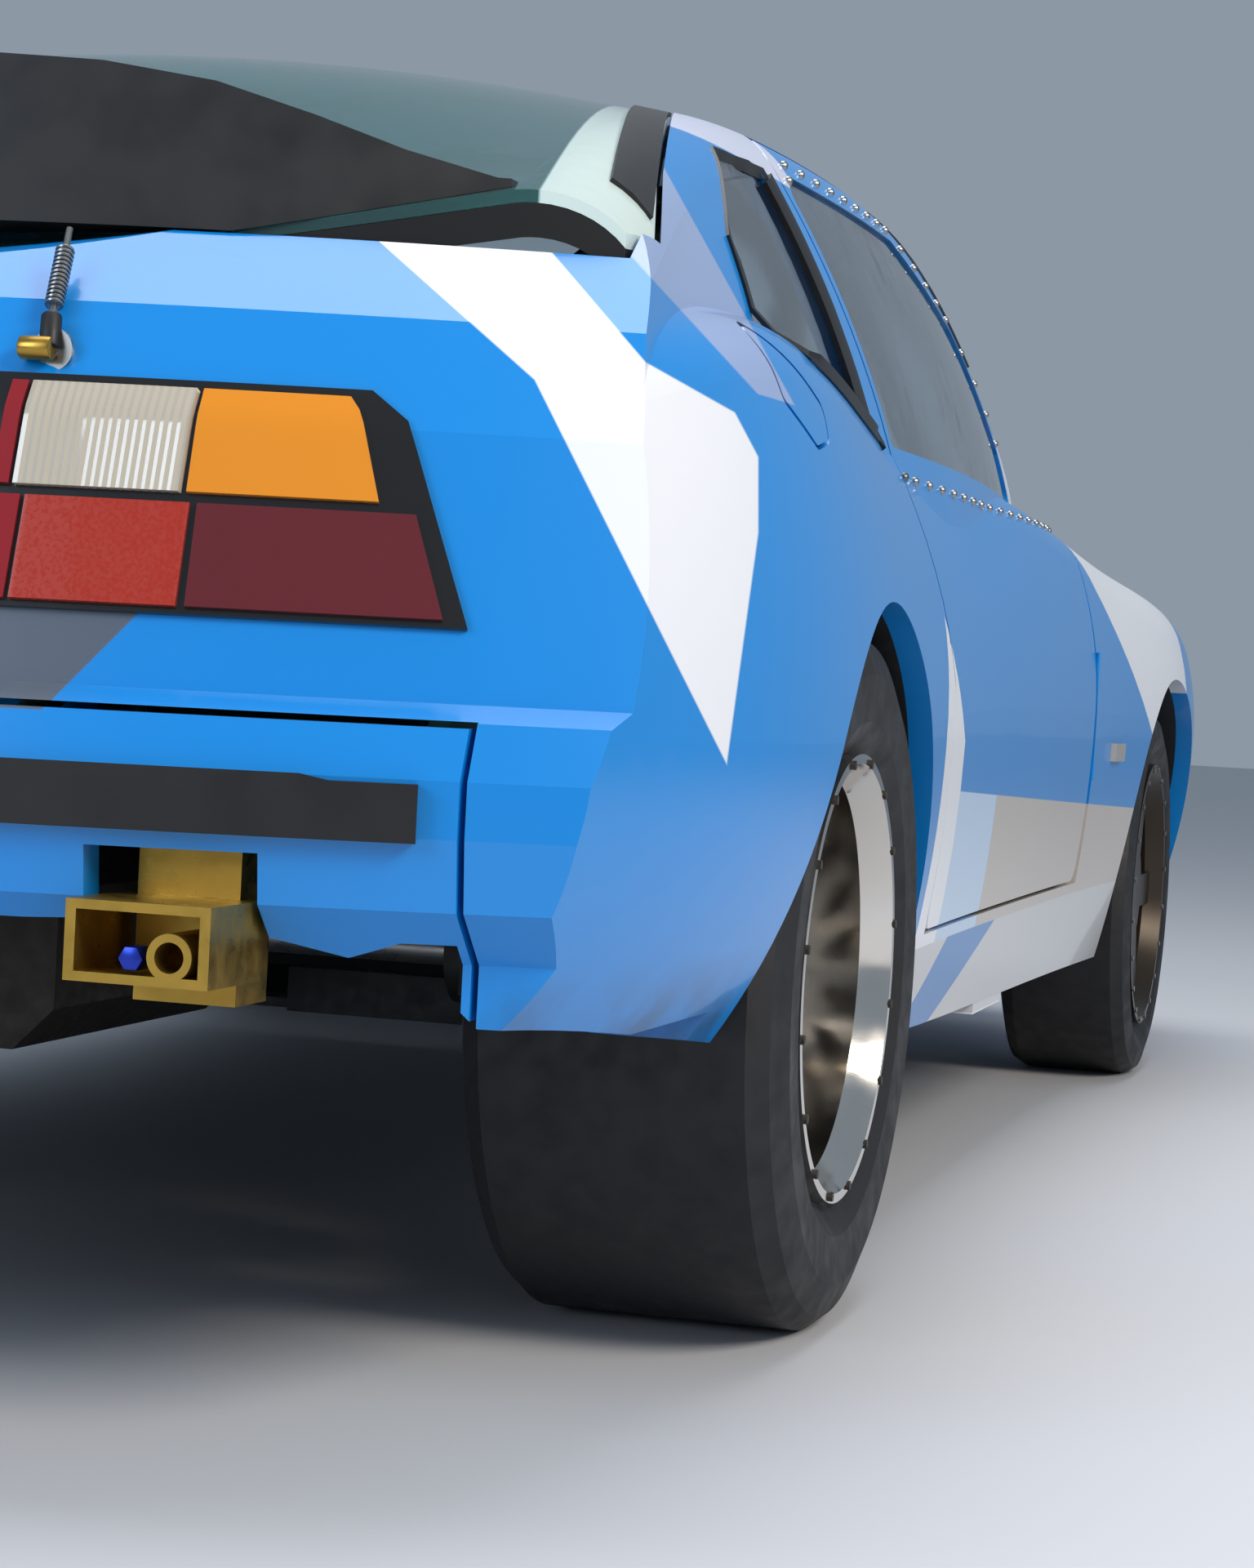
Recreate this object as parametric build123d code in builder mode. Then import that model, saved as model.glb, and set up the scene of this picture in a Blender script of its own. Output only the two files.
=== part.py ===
"""Fastback coupe set up for drag racing, at full size in millimetres.

X points forward, Y to the car's left and Z up. The origin is on the ground, under the middle of the
car's length. The body is one outer form and the same form drawn in by the wall, so that each panel
is cut from the shell between them.
"""

import os
from math import asin, cos, degrees, radians, sin, sqrt

from build123d import *

# Driving dimensions
LENGTH = 4200.0
WHEELBASE = 2400.0
REAR_OVERHANG = 940.0
REAR_X = -LENGTH / 2 + REAR_OVERHANG
FRONT_X = REAR_X + WHEELBASE
SKIN = 26.0
DOOR_DEPTH = 68.0
GLASS_INSET = 4.0
GLASS_THICKNESS = 6.0
GAP = 5.0
FIT = 0.3
TIGHTEST = 4.0

# Wheels and tyres
SLICK_RADIUS = 330.0
SLICK_WIDTH = 296.0
SLICK_TREAD = 262.0
SLICK_Y = 695.0
DEEP_RIM_WIDTH = 280.0
FRONT_TYRE_RADIUS = 293.0
FRONT_TYRE_WIDTH = 206.0
FRONT_TREAD = 178.0
FRONT_TYRE_Y = 738.0
FRONT_RIM_WIDTH = 198.0
RIM_RADIUS = 208.0
RIM_WALL = 9.0
TYRE_BEAD = 3.0

# Wheel arches
REAR_ARCH_RADIUS = 354.0
FRONT_ARCH_RADIUS = 350.0
REAR_TUB_Y = 505.0
FRONT_TUB_Y = 470.0
TUB_SKIN = 4.0

# The tail and the nose are turned about upright axes, which gives them their curve in plan
TAIL_PLAN_RADIUS = 1930.0
TAIL_AXIS_X = -LENGTH / 2 + TAIL_PLAN_RADIUS
NOSE_PLAN_RADIUS = 1750.0
NOSE_AXIS_X = LENGTH / 2 - NOSE_PLAN_RADIUS
# Profiles of both ends, from the ground up: how far in from the end of the car, z
TAIL_PROFILE = [(46, 0), (46, 385), (6, 425), (0, 478), (0, 520), (16, 562), (38, 575), (92, 775), (140, 862)]
TAIL_TOP = (700, 1400)
NOSE_PROFILE = [(90, 0), (60, 185), (14, 240), (0, 320), (2, 420), (26, 500), (70, 560)]
NOSE_TOP = (900, 1400)

# Lower body sections, one row each:
# x, sill z, sill half width, widest z, half width, side radius, side angle, shoulder radius, crown z
LOWER = [
    (-2110, 330, 650, 520, 740, 700, 17, 90, 800),
    (-1700, 320, 770, 555, 850, 900, 18, 80, 925),
    (-1160, 262, 800, 560, 868, 800, 21, 95, 955),
    (-560, 232, 796, 582, 838, 540, 26, 90, 915),
    (160, 220, 792, 588, 832, 600, 22, 80, 892),
    (760, 212, 796, 582, 842, 540, 19, 95, 880),
    (1240, 205, 800, 572, 868, 480, 17, 110, 818),
    (1720, 205, 770, 545, 838, 420, 15, 100, 706),
    (2110, 225, 640, 480, 720, 340, 12, 60, 590),
]

# Cabin sections, one row each: x, half width, crown z. All share the side circle.
CABIN_WAIST_Z = 650.0
CABIN_SIDE_RADIUS = 920.0
CABIN_FOOT_Z = 760.0
CABIN_SHOULDER = 110.0
CABIN_LEAN = 0.74
CABIN = [
    (-2010, 800, 876),
    (-1450, 792, 1100),
    (-900, 804, 1236),
    (-300, 800, 1275),
    (80, 772, 1246),
    (430, 730, 1106),
    (900, 640, 866),
]

# Shut lines seen from the side, as x and z
DOOR_FRONT_X = 500.0
DOOR_REAR_X = -712.0
DOOR_BOTTOM_Z = 348.0
BELT_Z = 842.0
DOOR_LINE = [
    (DOOR_FRONT_X - 30, DOOR_BOTTOM_Z), (DOOR_REAR_X, DOOR_BOTTOM_Z), (DOOR_REAR_X, 610), (-845, BELT_Z),
    (-985, 1120), (-930, 1150), (-300, 1172), (90, 1112), (470, 950), (DOOR_FRONT_X, 880),
]
DOOR_CORNER = 26.0
DOOR_INNER_Y = 592.0
PIN_RADIUS = 2.7
PIN_LENGTH = 60.0
PIN_INSET = 2.0
DOOR_PIN_Z = (520.0, 640.0)
DOOR_HINGE_Y = 831.0
DOOR_PIN_X = 503.0
DOOR_WINDOW = [
    (-835, BELT_Z + 10), (-952, 1096), (-910, 1116), (-300, 1136), (80, 1074), (400, 940), (440, BELT_Z + 22),
]
QUARTER_WINDOW = [(-958, 850), (-1062, 1092), (-1090, 1104), (-1232, 1092), (-1346, 996), (-1338, 892)]
WINDOW_CORNER = 16.0
FLAP_THICKNESS = 5.0
FLAP_GAP = 4.0
FLAP_LINE = [(-1560, 905), (-1390, 842), (-1400, 815), (-1450, 806), (-1530, 838)]

# Shut lines seen from above, as x and half width
HATCH_FRONT_X = -560.0
HATCH_REAR_X = -1888.0
HATCH_RAIL = 55.0
HATCH_LINE = [(HATCH_FRONT_X, 452), (-1000, 574), (-1500, 700), (-1650, 742), (-1735, 738)]
SCREEN_TOP_X = 78.0
SCREEN_FOOT_X = 800.0
SCREEN_LINE = [(SCREEN_TOP_X, 540), (430, 590), (720, 606), (SCREEN_FOOT_X, 540)]
BONNET_FRONT_X = 1968.0
BONNET_REAR_X = 925.0
BONNET_PIN_Z = 866.0
HATCH_PIN_Z = 1263.0
POD_PIN_Z = 712.0
BONNET_LINE = [(BONNET_REAR_X, 640), (1240, 668), (1693, 648), (1693, 393), (BONNET_FRONT_X, 393)]
POD_REAR_X = 1700.0
POD_FRONT_X = 1925.0
POD_INNER_Y = 400.0
POD_OUTER_Y = 640.0
POD_THICKNESS = 7.0
NOSE_HALF = 600.0
BUMPER_Z = 563.0

# Front view of the spoiler on the right side, as y and z
SPOILER_TOP = [
    (0, 1070), (-200, 1068), (-330, 1063), (-420, 1050), (-500, 1026), (-570, 1002), (-640, 984), (-650, 984),
    (-652, 976), (-700, 962), (-748, 944), (-748, 925), (0, 925),
]

# Lower edge of the tail seen from behind, as y and z on the right side
TAIL_UNDERSIDE = [
    (0, 406), (-400, 406), (-522, 411), (-580, 398), (-640, 382), (-686, 364), (-712, 338), (-735, 322), (-770, 320),
    (-812, 333), (-840, 350), (-900, 350), (-900, 0), (0, 0),
]
REAR_BUMPER_FRONT_X = -1800.0
FRONT_BUMPER_Z = 505.0
FRONT_BUMPER_REAR_X = 1606.0
NOSE_GAP = 13.0


# Steering, suspension and running gear
BALL = (FRONT_X, 672.0, 185.0)
STRUT_TOP = (FRONT_X, 560.0, 735.0)
BALL_RADIUS = 16.0
HUB_RADIUS = 62.0
STUB_RADIUS = 20.0
DISC_RADIUS = 145.0
DISC_THICKNESS = 22.0
FRONT_DISC_Y = 712.0
REAR_DISC_Y = 575.0
ARM_RADIUS = 17.0
TORSION_TUBE_X = -905.0
TORSION_TUBE_RADIUS = 42.0
TORSION_TUBE_Z = 318.0
TRAILING_ARM_Y = 486.0
HALF_SHAFT_RADIUS = 17.0
TORQUE_TUBE_RADIUS = 55.0
TORQUE_TUBE_Z = 322.0
FLOOR_Z = 226.0
FLOOR_SKIN = 10.0
REAR_FLOOR_Z = 492.0
BULKHEAD_X = 762.0

TOW_BORE_RADIUS = 11.0
TOW_BORE_LENGTH = 80.0

# Cage and cabin
CAGE_RADIUS = 22.0
STAY_RADIUS = 18.0
CAGE_BEND = 120.0
HOOP_X = -470.0
HOOP_Y = 575.0
HOOP_TOP_Z = 1150.0
SEAT_Y = -345.0
SEAT_WIDTH = 430.0
WHEEL_CENTRE = (215.0, SEAT_Y, 805.0)
HAND_WHEEL_RADIUS = 175.0
COLUMN_TILT = 24.0


def ring_point(radius, angle, centre):
    """A point on a circle at an angle in degrees from +Y."""
    return (centre[0] + radius * cos(radians(angle)), centre[1] + radius * sin(radians(angle)))


def upper_outline(widest_z, half_width, side_radius, side_angle, shoulder, crown_z, start_angle=0.0):
    """Three tangent arcs of the right half, from the widest point to the crown: a list of (start, mid, end)."""
    side_centre = (half_width - side_radius, widest_z)
    small_centre = ring_point(side_radius - shoulder, side_angle, side_centre)
    rise = crown_z - small_centre[1]
    crown_radius = (small_centre[0] ** 2 + rise**2 - shoulder**2) / (2 * (rise - shoulder))
    crown_centre = (0.0, crown_z - crown_radius)
    reach = crown_radius - shoulder
    join_angle = degrees(asin((small_centre[1] - crown_centre[1]) / reach))
    side = [
        ring_point(side_radius, angle, side_centre)
        for angle in (start_angle, (start_angle + side_angle) / 2, side_angle)
    ]
    turn = [
        ring_point(shoulder, angle, small_centre)
        for angle in (side_angle, (side_angle + join_angle) / 2, join_angle)
    ]
    return side, turn


def mirrored(point):
    """The same point on the other side of the car."""
    return (-point[0], point[1])


def cross_plane(x):
    """The upright plane across the car at x, with the section's width along +Y."""
    return Plane(origin=(x, 0, 0), x_dir=(0, 1, 0), z_dir=(1, 0, 0))


def loft_sections(sections):
    """A solid through whole sections, each given as (x, foot, arcs of the left half, crown z)."""
    with BuildPart() as form:
        for x, foot, arcs, crown_z in sections:
            with BuildSketch(cross_plane(x)):
                with BuildLine():
                    Line(mirrored(foot), foot)
                    for start, mid, end in arcs:
                        ThreePointArc(start, mid, end)
                        ThreePointArc(mirrored(start), mirrored(mid), mirrored(end))
                    last = arcs[-1][2]
                    ThreePointArc(last, (0.0, crown_z), mirrored(last))
                make_face()
        loft()
    return form.part


def lower_form(inset=0.0):
    """The body below the windows, from nose to tail."""
    sections = []
    for x, foot_z, foot_y, widest_z, half, side_r, angle, shoulder, crown in LOWER:
        foot = (foot_y - inset, foot_z + inset)
        wide = (half - inset, widest_z)
        tuck, rise = wide[0] - foot[0], wide[1] - foot[1]
        tuck_radius = (tuck**2 + rise**2) / (2 * tuck)
        tuck_angle = degrees(asin(rise / tuck_radius))
        tuck_centre = (wide[0] - tuck_radius, wide[1])
        tuck_arc = (foot, ring_point(tuck_radius, -tuck_angle / 2, tuck_centre), wide)
        side, turn = upper_outline(
            widest_z, half - inset, side_r - inset, angle, max(shoulder - inset, TIGHTEST), crown - inset
        )
        sections.append((x * (1 - inset / (LENGTH / 2)), foot, [tuck_arc, side, turn], crown - inset))
    return loft_sections(sections)


def cabin_form(inset=0.0):
    """The roof, pillars and windows, standing in the lower body."""
    sections = []
    for x, half, crown in CABIN:
        radius = CABIN_SIDE_RADIUS - inset
        start_angle = degrees(asin((CABIN_FOOT_Z - CABIN_WAIST_Z) / radius))
        lean_z = CABIN_FOOT_Z + CABIN_LEAN * (crown - inset - CABIN_FOOT_Z)
        side_angle = degrees(asin((lean_z - CABIN_WAIST_Z) / radius))
        side, turn = upper_outline(
            CABIN_WAIST_Z, half - inset, radius, side_angle, CABIN_SHOULDER - inset, crown - inset,
            start_angle,
        )
        sections.append((x * (1 - inset / (LENGTH / 2)), side[0], [side, turn], crown - inset))
    return loft_sections(sections)


def cut_from(base, keep, label, cuts=()):
    """The part of a base that lies in a block, less other blocks."""
    with BuildPart() as piece:
        add(base)
        add(keep, mode=Mode.INTERSECT)
        for cut in cuts:
            add(cut, mode=Mode.SUBTRACT)
    piece.part.label = label
    return piece.part


def joined(parts):
    """Several solids as one."""
    with BuildPart() as whole:
        for part in parts:
            add(part)
    return whole.part


def axle_cylinder(x, z, radius, y_range):
    """A cylinder along the car's width."""
    with BuildPart() as rod:
        with BuildSketch(Plane.XZ.offset(-y_range[1])):
            with Locations((x, z)):
                Circle(radius)
        extrude(amount=y_range[1] - y_range[0])
    return rod.part


def tube_path(points, radius, bend):
    """A round tube along straight runs with equal bends."""
    with BuildPart() as tube:
        with BuildLine() as path:
            if len(points) > 2:
                FilletPolyline(*points, radius=bend)
            else:
                Line(*points)
        with BuildSketch(Plane(origin=path.line @ 0, z_dir=path.line % 0)):
            Circle(radius)
        sweep()
    return tube.part


def turned_ring(outline, x, z, y_middle):
    """A ring about an axle, with its outline drawn as radius and place along the axle."""
    with BuildPart() as ring:
        with BuildSketch(Plane.YZ):
            with BuildLine():
                Polyline([(along, radius) for radius, along in outline], close=True)
            make_face()
        revolve(axis=Axis.Y)
    ring.part.locate(Location((x, y_middle, z)))
    return ring.part


def tyre_outline(radius, width, tread):
    """Half section of a tyre: radius and place along the axle."""
    shoulder = radius - 0.12 * (radius - RIM_RADIUS)
    bead = RIM_RADIUS + TYRE_BEAD
    return [
        (bead, -width / 2 + 22), (bead + 30, -width / 2 + 3), (shoulder - 30, -width / 2), (shoulder, -tread / 2 - 6),
        (radius, -tread / 2 + 12), (radius, tread / 2 - 12), (shoulder, tread / 2 + 6),
        (shoulder - 30, width / 2), (bead + 30, width / 2 - 3), (bead, width / 2 - 22),
    ]


def rim_outline(width):
    """Half section of a rim's barrel with its two lips."""
    lip = RIM_RADIUS + TYRE_BEAD - FIT
    inner = lip - RIM_WALL
    edge = width / 2
    return [
        (lip, -edge), (lip, edge), (inner, edge), (inner - 14, edge - 40), (inner - 14, -edge + 30), (inner, -edge),
    ]


def mirrored_copy(part, label):
    """The same piece on the left of the car."""
    with BuildPart() as twin:
        mirror(part, about=Plane.XZ)
    twin.part.label = label
    return twin.part


def side_block(outline, corner=0.0, inner_y=300.0, outer_y=1000.0, grow=0.0):
    """A block on the right side of the car, with an outline drawn as seen from the side."""
    with BuildPart() as block:
        with BuildSketch(Plane.XZ.offset(inner_y)) as drawn:
            with BuildLine():
                Polyline(outline, close=True)
            make_face()
            if corner:
                fillet(drawn.vertices(), corner)
            if grow:
                offset(amount=grow, kind=Kind.INTERSECTION)
        extrude(amount=outer_y - inner_y)
    return block.part


def top_block(outline, grow=0.0, low_z=300.0, high_z=1400.0):
    """An upright block across the car, with one side of its outline drawn from above."""
    whole = outline + [(x, -y) for x, y in reversed(outline)]
    with BuildPart() as block:
        with BuildSketch(Plane.XY.offset(low_z)):
            with BuildLine():
                Polyline(whole, close=True)
            make_face()
            if grow:
                offset(amount=grow, kind=Kind.INTERSECTION)
        extrude(amount=high_z - low_z)
    return block.part


def span_box(x_range, y_range, z_range):
    """A box between limits along each axis."""
    size = [high - low for low, high in (x_range, y_range, z_range)]
    middle = [(high + low) / 2 for low, high in (x_range, y_range, z_range)]
    with BuildPart() as box:
        with Locations(tuple(middle)):
            Box(*size)
    return box.part


def rear_block(outline, x_range):
    """A block along the car, with the right half of its outline drawn as seen from behind."""
    whole = outline + [(-y, z) for y, z in reversed(outline) if y]
    with BuildPart() as block:
        with BuildSketch(Plane.YZ.offset(x_range[0])):
            with BuildLine():
                Polyline(whole, close=True)
            make_face()
        extrude(amount=x_range[1] - x_range[0])
    return block.part


def end_disc(profile, top, axis_x, direction, inset):
    """The disc that is turned from an end profile about its upright axis."""
    end_x = direction * LENGTH / 2
    points = [(axis_x, 0)]
    points += [(end_x - direction * (depth + inset), z) for depth, z in profile + [top]]
    points += [(axis_x, top[1])]
    with BuildPart() as disc:
        with BuildSketch(Plane.XZ):
            with BuildLine():
                Polyline(points, close=True)
            make_face()
        revolve(axis=Axis((axis_x, 0, 0), (0, 0, 1)))
    return disc.part


def body_form(inset=0.0):
    """Lower body and cabin together, with the tail and the nose turned to shape."""
    ends = [
        (end_disc(TAIL_PROFILE, TAIL_TOP, TAIL_AXIS_X, -1, inset), (-LENGTH, 0)),
        (end_disc(NOSE_PROFILE, NOSE_TOP, NOSE_AXIS_X, 1, inset), (0, LENGTH)),
    ]
    lower = lower_form(inset)
    cabin = cabin_form(inset)
    halves = []
    for disc, x_range in ends:
        with BuildPart() as half:
            add(lower)
            add(cabin)
            add(span_box(x_range, (-1000, 1000), (0, 1400)), mode=Mode.INTERSECT)
            add(disc, mode=Mode.INTERSECT)
        halves.append(half.part)
    return joined(halves)


def wheel_ring(outline, x, z, side, centre_y):
    """A ring for a wheel on one side of the car: side is 1 on the left and -1 on the right."""
    return turned_ring(outline, x, z, side * centre_y)


def make_rim(label, x, z, side, centre_y, width, face_y, disc_y, spokes):
    """A rim with its centre, hub and brake disc, all turned about the axle."""
    barrel_inner = RIM_RADIUS + TYRE_BEAD - FIT - RIM_WALL - 14

    def along(low, high):
        return (side * low, side * high) if side > 0 else (side * high, side * low)

    barrel = wheel_ring(rim_outline(width), x, z, side, centre_y)
    hub = axle_cylinder(x, z, HUB_RADIUS, along(disc_y - DISC_THICKNESS / 2, face_y))
    brake = axle_cylinder(x, z, DISC_RADIUS, along(disc_y - DISC_THICKNESS / 2, disc_y + DISC_THICKNESS / 2))
    with BuildPart() as centre:
        with BuildSketch(Plane.XZ.offset(-along(face_y - 26, face_y)[1])):
            with Locations((x, z)):
                Circle(HUB_RADIUS + 14)
                with PolarLocations(0, spokes):
                    with Locations(((HUB_RADIUS + barrel_inner) / 2 + 2, 0)):
                        Rectangle(barrel_inner - HUB_RADIUS + 16, 52)
        extrude(amount=26)
    bore = axle_cylinder(x, z, STUB_RADIUS + FIT, along(disc_y - DISC_THICKNESS, face_y - 40))
    with BuildPart() as rim:
        add(barrel)
        add(hub)
        add(brake)
        add(centre.part)
        add(bore, mode=Mode.SUBTRACT)
    rim.part.label = label
    return rim.part


def export(parts):
    """Writes each piece to its own file."""
    os.makedirs("parts", exist_ok=True)
    for part in parts:
        export_step(part, f"parts/{part.label}.step")


def hatch_block(grow):
    """The upright block that the hatch is cut with, ending in an arc about the tail's axis."""
    with BuildPart() as block:
        add(top_block(HATCH_LINE + [(HATCH_REAR_X - 40, 738)], grow=grow, low_z=860))
        with BuildPart(mode=Mode.INTERSECT):
            with Locations((TAIL_AXIS_X, 0, 1100)):
                Cylinder(TAIL_AXIS_X - HATCH_REAR_X + grow, 900)
    return block.part


def pins(x, y_or_z, along_z, stations):
    """Short hinge pins on one axis: upright at y, or across the car at z."""
    with BuildPart() as made:
        for station in stations:
            if along_z:
                with BuildSketch(Plane.XY.offset(station - PIN_LENGTH / 2)):
                    with Locations((x, y_or_z)):
                        Circle(PIN_RADIUS)
            else:
                with BuildSketch(Plane.XZ.offset(-station - PIN_LENGTH / 2)):
                    with Locations((x, y_or_z)):
                        Circle(PIN_RADIUS)
            extrude(amount=PIN_LENGTH)
    return made.part


def body_panels():
    """All the panels that are cut from the shell."""
    outer = body_form()
    inner = body_form(SKIN)
    with BuildPart() as hollow:
        add(outer)
        add(inner, mode=Mode.SUBTRACT)
        add(span_box((-1000, 1950), (-700, 700), (100, 320)), mode=Mode.SUBTRACT)
        add(span_box((-1950, -1000), (-700, 700), (100, 400)), mode=Mode.SUBTRACT)
    shell = hollow.part
    glass_outer = cabin_form(GLASS_INSET)
    glass_inner = cabin_form(GLASS_INSET + GLASS_THICKNESS)
    with BuildPart() as pane:
        add(glass_outer)
        add(glass_inner, mode=Mode.SUBTRACT)
    glazing = pane.part
    everywhere = (-1000, 1000)

    def arch(x, radius, tyre_radius, inner_y):
        return [
            axle_cylinder(x, tyre_radius, radius, (side * inner_y, side * 1000) if side > 0 else (-1000, -inner_y))
            for side in (1, -1)
        ]

    rear_arches = joined(arch(REAR_X, REAR_ARCH_RADIUS, SLICK_RADIUS, REAR_TUB_Y))
    front_arches = joined(arch(FRONT_X, FRONT_ARCH_RADIUS, FRONT_TYRE_RADIUS, FRONT_TUB_Y))
    pieces = []

    door_cut = side_block(DOOR_LINE, DOOR_CORNER, inner_y=DOOR_INNER_Y - GAP, grow=GAP)
    door_keep = side_block(DOOR_LINE, DOOR_CORNER, inner_y=DOOR_INNER_Y)
    window = side_block(DOOR_WINDOW, WINDOW_CORNER)
    with BuildPart() as door:
        add(outer)
        add(door_keep, mode=Mode.INTERSECT)
        add(lower_form(DOOR_DEPTH), mode=Mode.SUBTRACT)
        add(cabin_form(SKIN), mode=Mode.SUBTRACT)
        add(window, mode=Mode.SUBTRACT)
    door.part.label = "door_right"
    pieces += [door.part, mirrored_copy(door.part, "door_left")]
    pane_right = cut_from(glazing, side_block(DOOR_WINDOW, WINDOW_CORNER, grow=-FIT), "door_glass_right")
    pieces += [pane_right, mirrored_copy(pane_right, "door_glass_left")]

    sill_top = DOOR_BOTTOM_Z - GAP
    with BuildPart() as sill:
        add(outer)
        add(span_box((REAR_X + 150, FRONT_X - 150), (-1000, -690), (100, sill_top)), mode=Mode.INTERSECT)
        add(rear_arches, mode=Mode.SUBTRACT)
        add(front_arches, mode=Mode.SUBTRACT)
        add(span_box((-182, 23), (-792, -706), (211, 262)))
    sill_left = mirrored_copy(sill.part, "sill_left")
    sill.part.label = "sill_right"
    pieces += [sill.part, sill_left]

    hatch_cut = hatch_block(GAP)
    screen_cut = top_block(SCREEN_LINE, low_z=840)
    bonnet_cut = top_block(BONNET_LINE, grow=GAP, low_z=450)
    below_bumper = span_box((-LENGTH, REAR_BUMPER_FRONT_X), (-706 - GAP, 706 + GAP), (0, BUMPER_Z))
    under_tail = rear_block(TAIL_UNDERSIDE, (-LENGTH, REAR_X - REAR_ARCH_RADIUS - 60))
    tail_middle = span_box((-LENGTH, -1850), (-705, 705), (0, 1400))
    quarter_window = side_block(QUARTER_WINDOW, WINDOW_CORNER)
    flap_keep = side_block(FLAP_LINE, 12)
    flap_cut = side_block(FLAP_LINE, 12, grow=FLAP_GAP)

    bumper_seats = span_box((-1942 - FIT, -1912), (-734 - FIT, -680), (470 - FIT, 530 + FIT))
    quarter_keep = joined([
        span_box((-LENGTH, DOOR_REAR_X + 1), (-1000, -300), (sill_top, 1400)),
        span_box((-LENGTH, REAR_X), (-1000, -300), (200, sill_top + 10)),
        span_box((DOOR_REAR_X, HATCH_FRONT_X), (-1000, -300), (1000, 1400)),
    ])
    lower_back = span_box((REAR_X + 60, DOOR_REAR_X - GAP), (-1000, -300), (0, sill_top))
    quarter = cut_from(
        shell, quarter_keep, "quarter_right",
        [door_cut, hatch_cut, below_bumper, tail_middle, quarter_window, rear_arches, flap_cut, lower_back, under_tail,
         bumper_seats],
    )
    pieces += [quarter, mirrored_copy(quarter, "quarter_left")]
    with BuildPart() as flap:
        add(outer)
        add(flap_keep, mode=Mode.INTERSECT)
        add(outer.moved(Location((0, FLAP_THICKNESS, 0))), mode=Mode.SUBTRACT)
    flap = flap.part
    flap.label = "fuel_flap"
    pieces.append(flap)

    pane = cut_from(glazing, side_block(QUARTER_WINDOW, WINDOW_CORNER, grow=-FIT), "quarter_pane")
    panes = Compound(children=[pane, mirrored_copy(pane, "quarter_pane_left")])
    panes.label = "quarter_glass"
    pieces.append(panes)

    door_cut_left = mirrored_copy(door_cut, "cut")
    roof = cut_from(
        shell, span_box((HATCH_FRONT_X, 900), everywhere, (893, 1400)), "roof",
        [bonnet_cut, door_cut, door_cut_left, screen_cut, hatch_cut, span_box((700, 960), (-560, 560), (800, 960))],
    )
    roof = joined([roof, pins(HATCH_FRONT_X + FIT + PIN_RADIUS, HATCH_PIN_Z, False, (-40, 40))])
    roof.label = "roof"
    pieces.append(roof)
    pieces.append(cut_from(glazing, top_block(SCREEN_LINE, grow=-FIT, low_z=866), "windscreen"))

    cowl = cut_from(
        shell, span_box((SCREEN_FOOT_X - 60, BONNET_REAR_X + 40), (-560, 560), (800, 960)), "cowl",
        [screen_cut, bonnet_cut],
    )
    cowl = joined([cowl, pins(BONNET_REAR_X - FIT - PIN_RADIUS, BONNET_PIN_Z, False, (-40, 40))])
    cowl.label = "cowl"
    pieces.append(cowl)

    pods = span_box((POD_REAR_X, POD_FRONT_X), (-POD_OUTER_Y, -POD_INNER_Y), (FRONT_BUMPER_Z + GAP, 900))
    pod_cut = span_box(
        (POD_REAR_X - GAP, POD_FRONT_X + GAP), (-POD_OUTER_Y - GAP, -POD_INNER_Y + GAP), (500, 900)
    )
    wing = cut_from(
        shell, span_box((DOOR_FRONT_X, LENGTH), (-1000, -300), (180, 893)), "wing_right",
        [
            door_cut, bonnet_cut, front_arches, screen_cut, pod_cut,
            span_box((0, FRONT_X), (-1000, -300), (0, sill_top)),
            span_box((FRONT_BUMPER_REAR_X, LENGTH), everywhere, (0, FRONT_BUMPER_Z)),
            span_box((POD_FRONT_X + GAP, LENGTH), (-NOSE_HALF, NOSE_HALF), (0, 1400)),
            span_box((0, BONNET_REAR_X), (-560, 560), (0, 1400)),
        ],
    )
    wing = joined([wing, pins(DOOR_PIN_X, -DOOR_HINGE_Y, True, DOOR_PIN_Z)])
    wing.label = "wing_right"
    pieces += [wing, mirrored_copy(wing, "wing_left")]

    bonnet = cut_from(
        shell, top_block(BONNET_LINE, low_z=450), "bonnet",
        [],
    )
    pieces.append(bonnet)
    with BuildPart() as pod:
        add(outer)
        add(pods, mode=Mode.INTERSECT)
        add(outer.moved(Location((0, 0, -POD_THICKNESS))), mode=Mode.SUBTRACT)
        add(span_box((POD_REAR_X, POD_FRONT_X), (-POD_OUTER_Y, -POD_INNER_Y), (0, 590)), mode=Mode.SUBTRACT)
    pod = pod.part
    pod.label = "pod_right"
    pieces += [pod, mirrored_copy(pod, "pod_left")]

    nose = cut_from(
        shell, span_box((POD_FRONT_X + GAP, LENGTH), (-NOSE_HALF, NOSE_HALF), (FRONT_BUMPER_Z, 900)), "nose_panel",
        [bonnet_cut, span_box((BONNET_FRONT_X, BONNET_FRONT_X + NOSE_GAP), (-398, 398), (500, 900))],
    )
    pieces.append(nose)
    front_bumper = cut_from(
        shell, span_box((FRONT_BUMPER_REAR_X, LENGTH), everywhere, (0, FRONT_BUMPER_Z)), "front_bumper",
        [front_arches, span_box((1900, LENGTH), (-420, 420), (250, 330))],
    )
    pieces.append(front_bumper)

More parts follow.
